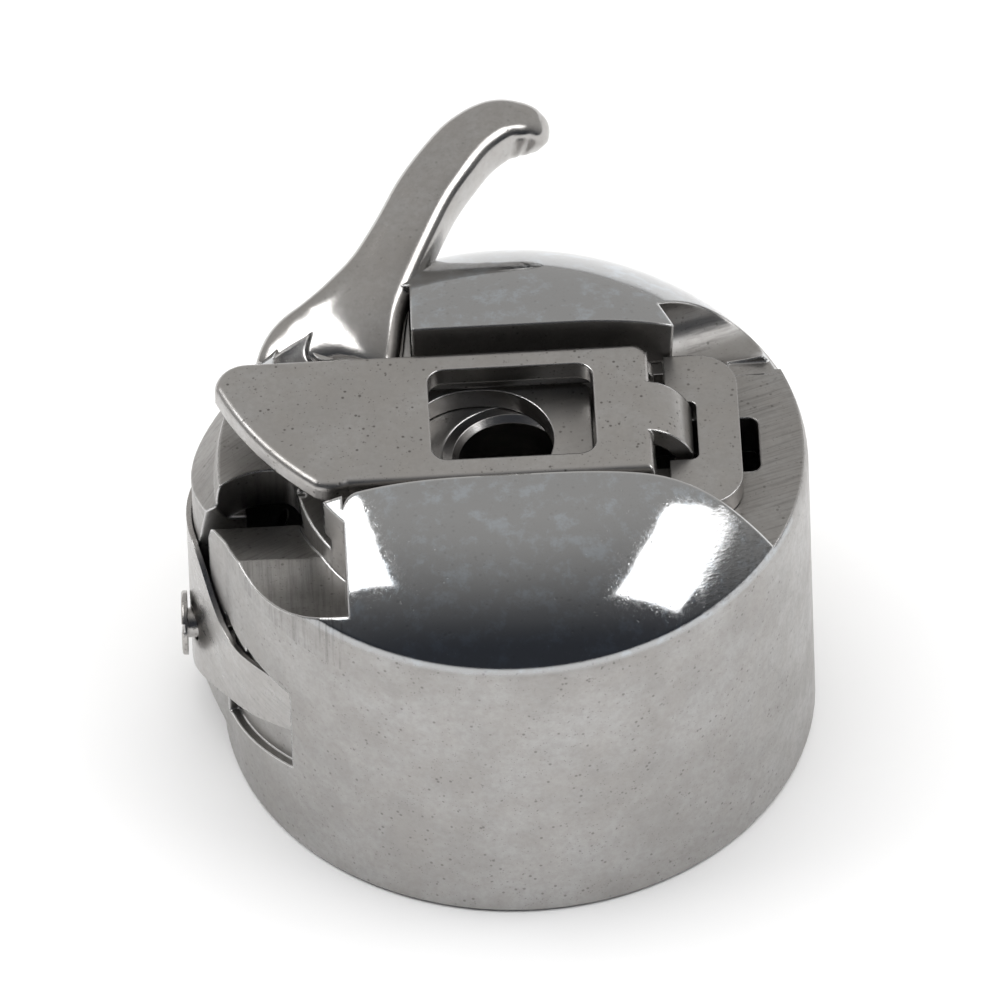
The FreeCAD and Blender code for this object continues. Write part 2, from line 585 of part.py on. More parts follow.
def case_body():
    body = outer_form().fuse(screw_pad())
    body = body.cut(rod(CAVITY_RADIUS, V(0, 0, -1), V(0, 0, CEILING)))
    cuts = [
        channel_cut(), land_corner_cut(), groove_cut(), notch_cut(), slit_cut(), recess_cut(),
        thread_eye_cut(), heel_slot_cut(), spring_pocket_cut(), rim_scoop_cut(), finger_seat(),
        rod(STUD_NECK_RADIUS, V(0, 0, CEILING - 1), V(0, 0, FLOOR + 1)),
        radial_rod(SCREW_SHANK_RADIUS + THREAD_CLEARANCE, ADJUSTER_ANGLE, ADJUSTER_Z,
                   STUD_RADIUS, FAR),
        radial_rod(SCREW_SHANK_RADIUS, FIXING_ANGLE, FIXING_Z, STUD_RADIUS, FAR),
    ]
    cuts += [rod(RIVET_RADIUS, V(x, y, CEILING - 1), V(x, y, FAR)) for x, y in rivet_places()]
    for cutter in cuts:
        body = body.cut(cutter)
    return largest(body.removeSplitter())


def largest(shape):
    return max(shape.Solids, key=lambda solid: solid.Volume)


# ---------------------------------------------------------------- centre stud
def center_stud():
    """Tube that the bobbin turns on; its neck is pressed into the closed face."""
    tube = rod(STUD_RADIUS, ORIGIN, V(0, 0, CEILING))
    tube = tube.fuse(rod(STUD_NECK_RADIUS, ORIGIN, V(0, 0, FLOOR)))
    bore = rod(STUD_BORE_RADIUS, V(0, 0, -1), V(0, 0, FLOOR + 1))
    sink = Part.makeCone(STUD_BORE_RADIUS, STUD_BORE_RADIUS + STUD_COUNTERSINK, STUD_COUNTERSINK,
                         V(0, 0, FLOOR - STUD_COUNTERSINK), Z_AXIS)
    return tube.cut(bore).cut(sink).removeSplitter()


# ---------------------------------------------------------------- latch slide
def slide_lug(sign):
    """One of the two lugs that carry the hinge pin."""
    low, high = sorted((sign * (HEEL_SLOT_HALF_WIDTH + EPS), sign * LUG_OUTER))
    lug = rod(LUG_RADIUS, V(PIN_X, low, PIN_Z), V(PIN_X, high, PIN_Z))
    return lug.fuse(block(PIN_X - LUG_RADIUS, PIN_X + LUG_RADIUS, low, high, SLIDE_BOTTOM, PIN_Z))


def lever_eye_room(sign):
    """Room beside a lug for the lever's eye to turn in."""
    low, high = sorted((sign * LUG_OUTER, sign * (LEVER_HALF_WIDTH + LUG_GAP)))
    return block(PIN_X - LUG_RADIUS - LUG_ROOM, HEAD_LEFT_END, low, high, 0, FAR)


def slide_hole():
    """Slotted hole over the stud."""
    right = SLIDE_HOLE_OFFSET
    left = right - SLIDE_HOLE_STRETCH
    ends = [rod(SLIDE_HOLE_RADIUS, V(x, 0, 0), V(x, 0, FAR)) for x in (left, right)]
    return ends[0].fuse(ends[1]).fuse(block(left, right, -SLIDE_HOLE_RADIUS, SLIDE_HOLE_RADIUS, 0, FAR))


def latch_slide():
    """Flanged plate that runs in the channel and carries the lever."""
    half, flange = SLIDE_HALF_WIDTH, GROOVE_HALF - SLIDE_SIDE_CLEARANCE
    right_corners = ((1, 0), (1, 1))
    slide = block(SLIDE_LEFT_END, HEAD_LEFT_END, -flange, flange, SLIDE_BOTTOM, BASE_TOP)
    slide = slide.fuse(rounded_block(HEAD_LEFT_END, SLIDE_RIGHT_END, -half, half, SLIDE_BOTTOM,
                                     SLIDE_TOP, SLIDE_CORNER_RADIUS, right_corners))
    slide = slide.fuse(rounded_block(SLIDE_LEFT_END, BOSS_RIGHT_END, -BOSS_HALF_WIDTH,
                                     BOSS_HALF_WIDTH, SLIDE_BOTTOM, SLIDE_TOP,
                                     BOSS_CORNER_RADIUS, right_corners))
    for sign in (-1, 1):
        slide = slide.fuse(slide_lug(sign))
    for sign in (-1, 1):
        slide = slide.cut(lever_eye_room(sign))
    slide = slide.cut(rounded_block(BOSS_RIGHT_END + HEEL_SLOT_LEFT_GAP, HEEL_SLOT_RIGHT_END,
                                    -HEEL_SLOT_HALF_WIDTH, HEEL_SLOT_HALF_WIDTH, 0, FAR,
                                    HEEL_SLOT_CORNER_RADIUS))
    slide = slide.cut(rod(PIN_RADIUS + PIN_CLEARANCE, V(PIN_X, -FAR, PIN_Z), V(PIN_X, FAR, PIN_Z)))
    ear = block(EAR_LEFT, EAR_LEFT + EAR_THICKNESS, SPRING_AXIS_Y - EAR_HALF_WIDTH,
                -SLIDE_HALF_WIDTH + SLIDE_FLANGE, SLIDE_BOTTOM, SPRING_AXIS_Z + EAR_RISE)
    return slide.cut(slide_hole()).fuse(ear).removeSplitter()


# ---------------------------------------------------------------- latch lever
def lever_outline():
    """Plan of the lever's plate: straight sides and a slanted, rounded grip."""
    half, right, corner = LEVER_HALF_WIDTH, LEVER_RIGHT_END, LEVER_CORNER
    diagonal = corner * (1 - math.sqrt(0.5))
    back_left, tip = V(GRIP_REAR_X, half, 0), V(LEVER_LEFT_END, GRIP_TIP_Y, 0)
    slant, straight = V(GRIP_FRONT_X, -half + 0.05, 0), V(GRIP_SIDE_X, -half, 0)
    return Part.Wire([
        arc(slant, V((GRIP_FRONT_X + GRIP_SIDE_X) / 2, -half - 0.12, 0), straight),
        line(straight, V(right, -half, 0)),
        line(V(right, -half, 0), V(right, half - corner, 0)),
        arc(V(right, half - corner, 0), V(right - diagonal, half - diagonal, 0),
            V(right - corner, half, 0)),
        line(V(right - corner, half, 0), back_left),
        arc(back_left, V(LEVER_LEFT_END + 0.35, half - 0.42, 0), tip),
        arc(tip, V(LEVER_LEFT_END + 1.6, -1.0, 0), slant),
    ])


def lever_heel():
    """Curled heel that passes through the slide and dips into the channel floor."""
    reach, thick = HEEL_REACH, HEEL_THICKNESS
    root = LEVER_RIGHT_END - HEEL_ROOT
    bottom = FLOOR - HEEL_DEPTH
    knee_z = LEVER_TOP - HEEL_KNEE_DROP
    y = -HEEL_HALF_WIDTH

    def curl(end_x, top):
        return V(root + HEEL_CURL * (end_x - root), y, knee_z + HEEL_CURL * (top - knee_z))

    knee, inner_knee = V(reach, y, knee_z), V(reach - thick, y, knee_z)
    tip, inner_tip = V(reach - HEEL_TAPER, y, bottom), V(reach - thick, y, bottom)
    edges = [
        line(V(root, y, LEVER_BOTTOM), V(root, y, LEVER_TOP)),
        arc(V(root, y, LEVER_TOP), curl(reach, LEVER_TOP), knee),
        line(knee, tip),
        line(tip, inner_tip),
        line(inner_tip, inner_knee),
        arc(inner_knee, curl(reach - thick, LEVER_BOTTOM), V(root, y, LEVER_BOTTOM)),
    ]
    return face_of(edges).extrude(V(0, 2 * HEEL_HALF_WIDTH, 0))


def on_top(edge, z):
    return all(abs(vertex.Z - z) < EPS for vertex in edge.Vertexes)


def latch_lever():
    """Plate with a window, bent-down sides that take the pin, and the heel."""
    plate = Part.Face(lever_outline()).extrude(V(0, 0, LEVER_THICKNESS))
    plate.translate(V(0, 0, LEVER_BOTTOM))
    plate = plate.makeFillet(LEVER_EDGE_ROUND, [e for e in plate.Edges if on_top(e, LEVER_TOP)])
    plate = plate.cut(rounded_block(WINDOW_LEFT, WINDOW_RIGHT, -WINDOW_HALF_WIDTH,
                                    WINDOW_HALF_WIDTH, 0, FAR, WINDOW_CORNER))
    eye_radius = LUG_RADIUS + LEVER_EYE_WALL
    right = PIN_X + eye_radius * math.sqrt(0.5)
    root = LEVER_BOTTOM + LEVER_THICKNESS / 3
    for sign in (-1, 1):
        low, high = sorted((sign * FLANGE_INNER, sign * LEVER_HALF_WIDTH))
        plate = plate.fuse(block(LEVER_FLANGE_LEFT, right, low, high,
                                 LEVER_BOTTOM - LEVER_FLANGE_DEPTH, root))
        plate = plate.fuse(rod(eye_radius, V(PIN_X, low, PIN_Z), V(PIN_X, high, PIN_Z)))
        plate = plate.fuse(block(PIN_X - eye_radius, right, low, high, PIN_Z, root))
    plate = plate.fuse(lever_heel())
    plate = plate.cut(rod(PIN_RADIUS, V(PIN_X, -FAR, PIN_Z), V(PIN_X, FAR, PIN_Z)))
    return plate.removeSplitter()


def hinge_pin():
    half = LEVER_HALF_WIDTH - PIN_INSET
    return rod(PIN_RADIUS, V(PIN_X, -half, PIN_Z), V(PIN_X, half, PIN_Z))


# ---------------------------------------------------------------- latch plunger and spring
def latch_plunger():
    """Headed pin that carries the spring's push to the slide's ear."""
    y, z = SPRING_AXIS_Y, SPRING_AXIS_Z
    left = EAR_LEFT + EAR_THICKNESS
    right = left + PLUNGER_HEAD
    head = rod(SPRING_COIL_RADIUS + SPRING_WIRE_RADIUS, V(left, y, z), V(right, y, z))
    stem = rod(PLUNGER_STEM_RADIUS, V(left, y, z), V(right + PLUNGER_STEM_LENGTH, y, z))
    return head.fuse(stem).removeSplitter()


def latch_spring():
    """Coil between the plunger's head and the blind end of its bore."""
    gap = SPRING_WIRE_RADIUS + SPRING_END_GAP
    start = EAR_LEFT + EAR_THICKNESS + PLUNGER_HEAD + gap
    length = SPRING_POCKET_END - gap - start
    helix = Part.makeHelix(length / SPRING_TURNS, length, SPRING_COIL_RADIUS)
    circle = Part.Wire([Part.makeCircle(SPRING_WIRE_RADIUS, V(SPRING_COIL_RADIUS, 0, 0), Y_AXIS)])
    coil = Part.Wire(helix).makePipeShell([circle], True, True)
    coil.rotate(ORIGIN, Y_AXIS, 90)
    coil.translate(V(start, SPRING_AXIS_Y, SPRING_AXIS_Z))
    return coil


# ---------------------------------------------------------------- tension spring and screws
def screw_places():
    """Azimuth, height and head radius of the adjusting and the fixing screw."""
    return [
        (ADJUSTER_ANGLE, ADJUSTER_Z, ADJUSTER_HEAD_RADIUS),
        (FIXING_ANGLE, FIXING_Z, FIXING_HEAD_RADIUS),
    ]


def radial_rod(radius, degrees, z, inner, outer):
    return rod(radius, polar(inner, degrees, z), polar(outer, degrees, z))


def leaf_upper_cut():
    """Above the leaf's upper edge, which dips to a waist and rises again to the free end."""
    start, end = V(-FAR, 0.6, LEAF_TOP + EPS), V(-FAR, LEAF_TIP_Y, LEAF_TIP_TOP)
    edge = Part.BSplineCurve()
    edge.interpolate([
        start, V(-FAR, -0.5, LEAF_TOP - 0.25), V(-FAR, -1.9, LEAF_WAIST + 0.65),
        V(-FAR, -3.2, LEAF_WAIST), V(-FAR, -4.7, LEAF_WAIST + 0.3), end,
    ])
    above_start, above_end = V(-FAR, start.y, FAR), V(-FAR, end.y, FAR)
    face = face_of([
        edge.toShape(), line(end, above_end), line(above_end, above_start), line(above_start, start),
    ])
    beyond = block(-FAR, 0, -FAR, LEAF_TIP_Y, LEAF_TIP_TOP, FAR)
    return face.extrude(V(FAR, 0, 0)).fuse(beyond)


def tension_spring():
    """Leaf that presses the thread against the wall."""
    leaf = leaf_band().cut(leaf_lower_line(0.0)).cut(leaf_upper_cut())
    for degrees, z, _ in screw_places():
        hole = SCREW_SHANK_RADIUS + SCREW_HOLE_CLEARANCE
        leaf = leaf.cut(radial_rod(hole, degrees, z, STUD_RADIUS, FAR))
    return largest(leaf)


def slotted_screw(degrees, z, head_radius):
    """Cheese-head screw through the leaf, tapped through the wall."""
    edge_angle = math.degrees(head_radius / CASE_RADIUS)
    steps = 8
    around = [degrees + edge_angle * i / steps for i in range(-steps, steps + 1)]
    crest = max((leaf_inner(a) + LEAF_THICKNESS) * math.cos(math.radians(a - degrees)) for a in around)
    seat = crest + LEAF_LIFT
    top = seat + SCREW_HEAD
    head = radial_rod(head_radius, degrees, z, seat, top)
    round_edges = [edge for edge in head.Edges if edge.Length > head_radius * 5]
    head = head.makeFillet(SCREW_HEAD / 2, [max(round_edges, key=lambda e: e.CenterOfMass.Length)])
    shank = radial_rod(SCREW_SHANK_RADIUS, degrees, z, CAVITY_RADIUS + WALL * 0.3, top - SCREW_SLOT_DEPTH)
    slot = block(top - SCREW_SLOT_DEPTH, top + 1, -FAR, FAR, -SCREW_SLOT_WIDTH / 2, SCREW_SLOT_WIDTH / 2)
    slot.rotate(ORIGIN, X_AXIS, SCREW_SLOT_TURN)
    slot.rotate(ORIGIN, Z_AXIS, degrees)
    slot.translate(V(0, 0, z))
    return head.fuse(shank).cut(slot).removeSplitter()


# ---------------------------------------------------------------- position finger
def outside_crown():
    """Everything outside the rear land's crown."""
    rear = rear_profile().revolve(ORIGIN, Z_AXIS, 360)
    return block(-FAR, FAR, -FAR, FAR, FLOOR - FACE, FAR).cut(rear)


def finger_foot():
    """Foot of the finger: it fills the seat, and its top slopes down towards the channel."""
    low = FLOOR + FOOT_TOP_AT_CHANNEL
    high = low + FOOT_SLOPE * FAR
    far_y = CHANNEL_HALF + FAR
    below_slope = polygon([
        V(-FAR, CHANNEL_HALF, 0), V(-FAR, far_y, 0), V(-FAR, far_y, high), V(-FAR, CHANNEL_HALF, low),
    ]).extrude(V(2 * FAR, 0, 0))
    foot = finger_seat(0.0).common(block(-FAR, 0, 0, FAR, FLOOR, FLOOR + FOOT_HEIGHT))
    return foot.common(below_slope).cut(outside_crown())


def finger_sections():
    """Centre, half width and half height of the finger from its root to its tip."""
    rim, top = CASE_RADIUS, FLOOR + FINGER_RISE
    tip = rim + FINGER_REACH
    return [
        (V(-5.9, rim - 5.6, top - 2.1), 1.95, 0.95), (V(-5.3, rim - 4.4, top - 1.9), 1.7, 1.0),
        (V(-4.65, rim - 3.2, top - 1.5), 1.48, 1.05), (V(-3.75, rim - 1.6, top - 0.9), 1.38, 1.1),
        (V(-2.8, rim + 0.15, top - 0.4), 1.34, 1.1), (V(-1.85, rim + 1.5, top - 0.1), 1.32, 1.1),
        (V(-0.95, tip - 1.15, top), 1.28, 1.1), (V(0.1, tip - 0.3, top), 1.18, 1.05),
        (V(1.1, tip, top - 0.25), 0.98, 0.92), (V(1.7, tip - 0.05, top - 0.6), 0.74, 0.74),
    ]


def finger_ring(centre, forward, half_width, half_height):
    """Rounded-rectangle section square to the finger's run."""
    side = forward.cross(Z_AXIS).normalize()
    up = side.cross(forward).normalize()
    count, power = 16, FINGER_SECTION_POWER
    points = []
    for i in range(count):
        a = 2 * math.pi * i / count
        c, s = math.cos(a), math.sin(a)
        u = math.copysign(abs(c) ** (2 / power), c) * half_width
        v = math.copysign(abs(s) ** (2 / power), s) * half_height
        points.append(centre + side * u + up * v)
    curve = Part.BSplineCurve()
    curve.interpolate(points, True)
    return Part.Wire([curve.toShape()])


def position_finger():
    """Curved horn on a riveted foot; it keeps the case from turning with the hook."""
    rows = finger_sections()
    rings = []
    for i, (centre, half_width, half_height) in enumerate(rows):
        before = rows[max(i - 1, 0)][0]
        after = rows[min(i + 1, len(rows) - 1)][0]
        rings.append(finger_ring(centre, (after - before).normalize(), half_width, half_height))
    tip_centre, tip_half, _ = rows[-1]
    horn = Part.makeLoft(rings, True, False).fuse(Part.makeSphere(tip_half * 0.95, tip_centre))
    horn = horn.common(outside_crown()).fuse(horn.common(finger_seat(0.0))).fuse(finger_foot())
    horn = horn.cut(channel_cut()).cut(groove_cut())
    for x, y in rivet_places():
        horn = horn.cut(rod(RIVET_RADIUS, V(x, y, 0), V(x, y, FLOOR + RIVET_REACH)))
    return largest(horn)


def rivet_places():
    return [(x, CHANNEL_HALF + RIVET_INSET) for x in RIVET_X]


def finger_rivets():
    """Two rivets with their heads inside the case."""
    rivets = []
    for x, y in rivet_places():
        ceiling = V(x, y, CEILING)
        head = rod(RIVET_HEAD_RADIUS, V(x, y, CEILING - RIVET_HEAD), ceiling)
        rivets.append(head.fuse(rod(RIVET_RADIUS, ceiling, V(x, y, FLOOR + RIVET_REACH))).removeSplitter())
    return Part.makeCompound(rivets)


# ---------------------------------------------------------------- output
def main():
    os.makedirs("parts", exist_ok=True)
    parts = {
        "case_body": case_body(),
        "center_stud": center_stud(),
        "latch_slide": latch_slide(),
        "latch_lever": latch_lever(),
        "hinge_pin": hinge_pin(),
        "latch_plunger": latch_plunger(),
        "latch_spring": latch_spring(),
        "tension_spring": tension_spring(),
        "tension_adjusting_screw": slotted_screw(*screw_places()[0]),
        "tension_fixing_screw": slotted_screw(*screw_places()[1]),
        "position_finger": position_finger(),
        "finger_rivets": finger_rivets(),
    }
    for name, shape in parts.items():
        shape.exportStep("parts/%s.step" % name)
        print(name, "valid" if shape.isValid() else "INVALID", round(shape.Volume, 3), len(shape.Solids))


main()
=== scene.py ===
"""Bobbin case: materials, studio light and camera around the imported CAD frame."""
import math

import bpy
from mathutils import Matrix, Vector


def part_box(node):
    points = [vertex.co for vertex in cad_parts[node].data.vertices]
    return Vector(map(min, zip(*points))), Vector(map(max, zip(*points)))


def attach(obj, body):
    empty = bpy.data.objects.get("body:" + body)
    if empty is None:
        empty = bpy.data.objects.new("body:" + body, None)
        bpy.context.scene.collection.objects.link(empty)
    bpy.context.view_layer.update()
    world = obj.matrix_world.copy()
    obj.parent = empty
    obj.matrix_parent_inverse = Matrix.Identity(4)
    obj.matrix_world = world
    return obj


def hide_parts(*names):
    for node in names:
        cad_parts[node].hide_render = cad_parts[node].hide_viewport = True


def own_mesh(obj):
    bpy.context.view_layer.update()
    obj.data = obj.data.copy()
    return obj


MM = 0.001

# ---------------------------------------------------------------- camera
VIEW_ELEVATION = math.radians(46.21)
VIEW_TURN = math.radians(1.0)        # the object stands turned by this against the view
VIEW_ROLL = math.radians(-2.1675)
VIEW_DISTANCE = 1500 * MM
VIEW_TARGET = Vector((0, 0, 7 * MM))
VIEW_RIGHT = -0.4839 * MM
VIEW_UP = 3.0990 * MM
SENSOR_MM = 36.0
FIELD_WIDTH = 40.174 * MM            # what the frame spans at the target's distance

# ---------------------------------------------------------------- sizes in millimetres
# Rows of the finger from its flared root to its tip: x from the case's axis, y from its rear
# rim, z from the horn's highest centre line, then half width and half height.
FINGER_ROWS = [
    (-6.95, -6.75, -3.10, 3.15, 0.60), (-6.75, -6.20, -2.60, 2.98, 0.85),
    (-6.15, -5.40, -2.05, 2.42, 1.00), (-5.45, -4.35, -1.62, 1.86, 1.06),
    (-4.65, -3.15, -1.30, 1.54, 1.10), (-3.75, -1.60, -0.84, 1.40, 1.12),
    (-2.80, 0.15, -0.40, 1.36, 1.12), (-1.85, 1.50, -0.10, 1.34, 1.11),
    (-0.95, 2.65, 0.00, 1.30, 1.10), (0.10, 3.48, -0.02, 1.22, 1.06),
    (1.02, 3.74, -0.24, 1.06, 0.96), (1.60, 3.74, -0.52, 0.86, 0.80),
    (1.98, 3.70, -0.78, 0.56, 0.54), (2.16, 3.67, -0.92, 0.20, 0.20),
]
FINGER_RINGS = 90
FINGER_SIDES = 40
FINGER_SQUARENESS = 3.0
FINGER_TOP = 1.1                     # of the horn above its highest centre line
FINGER_INSET = 0.03                  # keeps it inside the CAD box

FOOT_STEPS = 16
FOOT_RIGHT = -3.75                   # right end of the foot
FOOT_DEPTH = 2.1                     # how much deeper it gets towards that end
FOOT_LEFT_DEPTH = 0.9                # outwards from the channel, at its left end
FOOT_FRONT = 0.35                    # height of its front edge above the channel floor
FOOT_RISE = 1.35                     # from there to the back, at the right end
FOOT_LEFT_RISE = 0.55                # share of that rise at the left end
FOOT_HOLLOW = 1.6                    # power of the hollowed slope

COIL_WIRE = 0.15                     # radius
COIL_TURNS = 9
COIL_STEPS = 24                      # in each turn
COIL_SIDES = 10

# Finishes of the body: each pair is where one region fades into the next.
CHANNEL_FLOOR = 14.0                 # above the mouth
NOTCH_LOW = CHANNEL_FLOOR - 2.0
NOTCH_HIGH = CHANNEL_FLOOR + 0.35
NOTCH_RIGHT = (-7.2, -6.8)           # x
SCOOP_REAR = (-4.2, -4.05)           # y where the notch's scoop passes into its ramp
RUN_OUT_LEFT = (6.9, 7.4)            # x
RUN_OUT_LOW = CHANNEL_FLOOR - 0.2
RUN_OUT_HIGH = CHANNEL_FLOOR + 1.9
LAND_START = (4.0, 4.15)             # distance from the channel's centre line
LAND_LOW = (CHANNEL_FLOOR - 0.38, CHANNEL_FLOOR - 0.10)
LAND_CROWN = (CHANNEL_FLOOR + 1.0, CHANNEL_FLOOR + 1.5)
RAMP_TURN = 38                       # azimuths of the cutter's lines, in degrees
RUN_OUT_TURN = 19.3

SHARP_ANGLE = math.radians(38)


# ---------------------------------------------------------------- node helpers
class Nodes:
    """A short way to add and join shader nodes."""

    def __init__(self, tree):
        self.tree = tree
        self.tree.nodes.clear()

    def add(self, kind, inputs=None, **settings):
        node = self.tree.nodes.new(kind)
        for key, value in settings.items():
            setattr(node, key, value)
        for key, value in (inputs or {}).items():
            self.put(node.inputs[key], value)
        return node

    def put(self, socket, value):
        if isinstance(value, bpy.types.NodeSocket):
            self.tree.links.new(value, socket)
        else:
            socket.default_value = value

    def math(self, operation, a, b=0.0, clamp=False):
        node = self.add("ShaderNodeMath", operation=operation, use_clamp=clamp)
        self.put(node.inputs[0], a)
        self.put(node.inputs[1], b)
        return node.outputs[0]

    def times(self, first, *others):
        for other in others:
            first = self.math("MULTIPLY", first, other)
        return first

    def plus(self, first, *others):
        for other in others:
            first = self.math("ADD", first, other)
        return first

    def dot(self, a, b):
        node = self.add("ShaderNodeVectorMath", operation="DOT_PRODUCT")
        self.put(node.inputs[0], a)
        self.put(node.inputs[1], b)
        return node.outputs["Value"]

    def parts(self, vector):
        """The three parts of a vector."""
        node = self.add("ShaderNodeSeparateXYZ", {"Vector": vector})
        return [node.outputs[key] for key in "XYZ"]

    def between(self, value, low, high, soft=0.08):
        """1 from low to high, 0 outside."""
        return self.times(self.span(value, low - soft, low + soft),
                          self.span(value, high - soft, high + soft, 1.0, 0.0))

    def span(self, value, low, high, to_low=0.0, to_high=1.0):
        """value from low..high to to_low..to_high, held at both ends, with soft shoulders."""
        node = self.add("ShaderNodeMapRange", interpolation_type="SMOOTHSTEP")
        for key, number in (("Value", value), ("From Min", low), ("From Max", high),
                            ("To Min", to_low), ("To Max", to_high)):
            self.put(node.inputs[key], number)
        return node.outputs["Result"]

    def blend(self, factor, a, b):
        node = self.add("ShaderNodeMix", data_type="RGBA")
        self.put(node.inputs["Factor"], factor)
        self.put(node.inputs[6], a)
        self.put(node.inputs[7], b)
        return node.outputs[2]

    def noise(self, vector, scale, detail=4.0, roughness=0.55):
        inputs = {"Vector": vector, "Scale": scale, "Detail": detail, "Roughness": roughness}
        return self.add("ShaderNodeTexNoise", inputs).outputs["Fac"]


def millimetres(nodes):
    """Position on the object in millimetres."""
    place = nodes.add("ShaderNodeTexCoord").outputs["Object"]
    scale = (1 / MM, 1 / MM, 1 / MM)
    return nodes.add("ShaderNodeMapping", {"Vector": place, "Scale": scale}).outputs["Vector"]


def grey(level, warmth):
    """A grey that leans to red when warmth is above 0 and to blue below it."""
    return (level * (1 + warmth), level, level * (1 - warmth), 1.0)


# ---------------------------------------------------------------- steel
def pits(nodes, place, per_mm, share):
    """1 inside scattered round pits, 0 elsewhere."""
    cells = nodes.add("ShaderNodeTexVoronoi", {"Vector": place, "Scale": per_mm})
    spot = nodes.span(cells.outputs["Distance"], 0.10, 0.26, 1.0, 0.0)
    chosen = nodes.math("LESS_THAN", nodes.noise(place, per_mm * 0.35, 2.0), 0.36 + share)
    return nodes.math("MULTIPLY", spot, chosen)


def worn_and_highlit_edges(nodes, soft):
    """1 on the edges, found where the rounded normal leaves the flat one: rubbed wear, and where
    the colour is lifted as a painted highlight.
    """
    flat = nodes.add("ShaderNodeNewGeometry").outputs["Normal"]
    return nodes.span(nodes.dot(soft, flat), 0.90, 0.995, 1.0, 0.0)


class Finish:
    """Nickel-plated steel. Each method lays one more trait over colour, roughness and height."""

    def __init__(self, name, level, roughness, tarnish):
        self.material = bpy.data.materials.new(name)
        self.material.use_nodes = True
        self.nodes = nodes = Nodes(self.material.node_tree)
        self.place = place = millimetres(nodes)
        self.level = level
        self.roughness = roughness
        cloud = nodes.span(nodes.noise(place, 0.30, 7.0, 0.68), 0.34, 0.68)
        fleck = nodes.span(nodes.noise(place, 3.2, 6.0, 0.75), 0.36, 0.68)
        warm = nodes.span(nodes.noise(place, 0.8, 5.0, 0.65), 0.35, 0.65)
        clouded = grey(level * (1 - tarnish * 0.30), 0.030)
        colour = nodes.blend(cloud, clouded, grey(level * 1.08, 0.012))
        colour = nodes.blend(nodes.times(warm, 0.35), colour, grey(level * 0.96, 0.055))
        self.colour = nodes.blend(nodes.times(fleck, 0.45), colour, grey(level * 0.80, 0.035))
        rough = nodes.span(cloud, 0.0, 1.0, roughness * 1.12, roughness * 0.90)
        self.rough = nodes.plus(rough, nodes.times(fleck, roughness * 0.22))
        peel, grain = nodes.noise(place, 2.2, 3.0), nodes.noise(place, 14.0, 3.0)
        self.height = nodes.plus(nodes.times(peel, 0.5), nodes.times(grain, 0.30))
        fine = nodes.times(pits(nodes, place, 6.5, 0.14), 0.7)
        self.pit = nodes.math("MAXIMUM", pits(nodes, place, 3.1, 0.10), fine)

    def polish(self, mask):
        """Hazy mirror with bluish clouds where the mask is 1."""
        nodes = self.nodes
        shine = mask(nodes, self.place)
        dull = nodes.math("SUBTRACT", 1.0, shine)
        bluish = nodes.span(nodes.noise(self.place, 1.1, 7.0, 0.72), 0.48, 0.66)
        bright = nodes.blend(bluish, grey(0.41, -0.010), grey(0.50, -0.060))
        haze = nodes.span(nodes.noise(self.place, 5.0, 5.0, 0.7), 0.35, 0.75, 0.050, 0.135)
        self.colour = nodes.blend(shine, self.colour, bright)
        self.rough = nodes.plus(nodes.times(self.rough, dull), nodes.times(haze, shine))
        self.height = nodes.times(self.height, nodes.plus(nodes.times(dull, 0.82), 0.18))
        self.pit = nodes.times(self.pit, nodes.plus(nodes.times(dull, 0.7), 0.3))

    def tool(self, marks):
        """Grooves left by a tool; marks gives their height and where they lie."""
        nodes = self.nodes
        groove, share = marks(nodes, self.place)
        self.height = nodes.plus(self.height, nodes.times(groove, share, 1.6))
        dark = nodes.times(nodes.span(groove, 0.42, 0.70), share, 0.55)
        self.colour = nodes.blend(dark, self.colour, grey(self.level * 0.50, 0.03))

    def pitted(self, depth):
        """Small dark pits."""
        nodes = self.nodes
        stain = grey(self.level * 0.22, 0.08)
        self.colour = nodes.blend(nodes.times(self.pit, depth), self.colour, stain)
        self.height = nodes.math("SUBTRACT", self.height, nodes.times(self.pit, depth * 1.5))

    def shaded(self, edge):
        """The finished material, its edges rounded by edge millimetres, rubbed smoother and lifted
        in colour as a painted highlight.
        """
        nodes = self.nodes
        soft = nodes.add("ShaderNodeBevel", {"Radius": edge * MM}, samples=8).outputs["Normal"]
        wear_and_highlight = worn_and_highlit_edges(nodes, soft)
        # Rubbed wear with a painted highlight: the edges' colour is lifted towards a bright grey
        # and their roughness lowered.
        colour = nodes.blend(nodes.times(wear_and_highlight, 0.75), self.colour, grey(0.66, 0.004))
        rough = nodes.math("SUBTRACT", self.rough, nodes.times(wear_and_highlight, self.roughness * 0.45))
        bump = nodes.add("ShaderNodeBump", {"Height": self.height, "Normal": soft,
                                            "Strength": 0.35, "Distance": 0.012 * MM})
        shader = nodes.add("ShaderNodeBsdfPrincipled",
                           {"Base Color": colour, "Metallic": 1.0, "Roughness": rough,
                            "Normal": bump.outputs["Normal"]})
        nodes.add("ShaderNodeOutputMaterial", {"Surface": shader.outputs["BSDF"]})
        return self.material


def steel(name, level, roughness, pitting, tarnish=0.35, marks=None, polish=None, edge=0.06):
    """One finish; marks and polish are functions that say where those traits lie."""
    finish = Finish(name, level, roughness, tarnish)
    if polish:
        finish.polish(polish)
    if marks:
        finish.tool(marks)
    finish.pitted(pitting)
    return finish.shaded(edge)


def lines_along(nodes, turn, stretch):
    """Fine parallel tool marks; turn is their azimuth, stretch the scale in each direction."""
    place = nodes.add("ShaderNodeTexCoord").outputs["Object"]
    back = (0, 0, -math.radians(turn))
    turned = nodes.add("ShaderNodeMapping", {"Vector": place, "Rotation": back})
    scale = tuple(v / MM for v in stretch)
    scaled = nodes.add("ShaderNodeMapping", {"Vector": turned.outputs["Vector"], "Scale": scale})
    return nodes.noise(scaled.outputs["Vector"], 1.0, 4.0, 0.7)


def everywhere(*stretch):
    """Tool marks over the whole piece."""
    return lambda nodes, place: (lines_along(nodes, 0, stretch), 0.6)


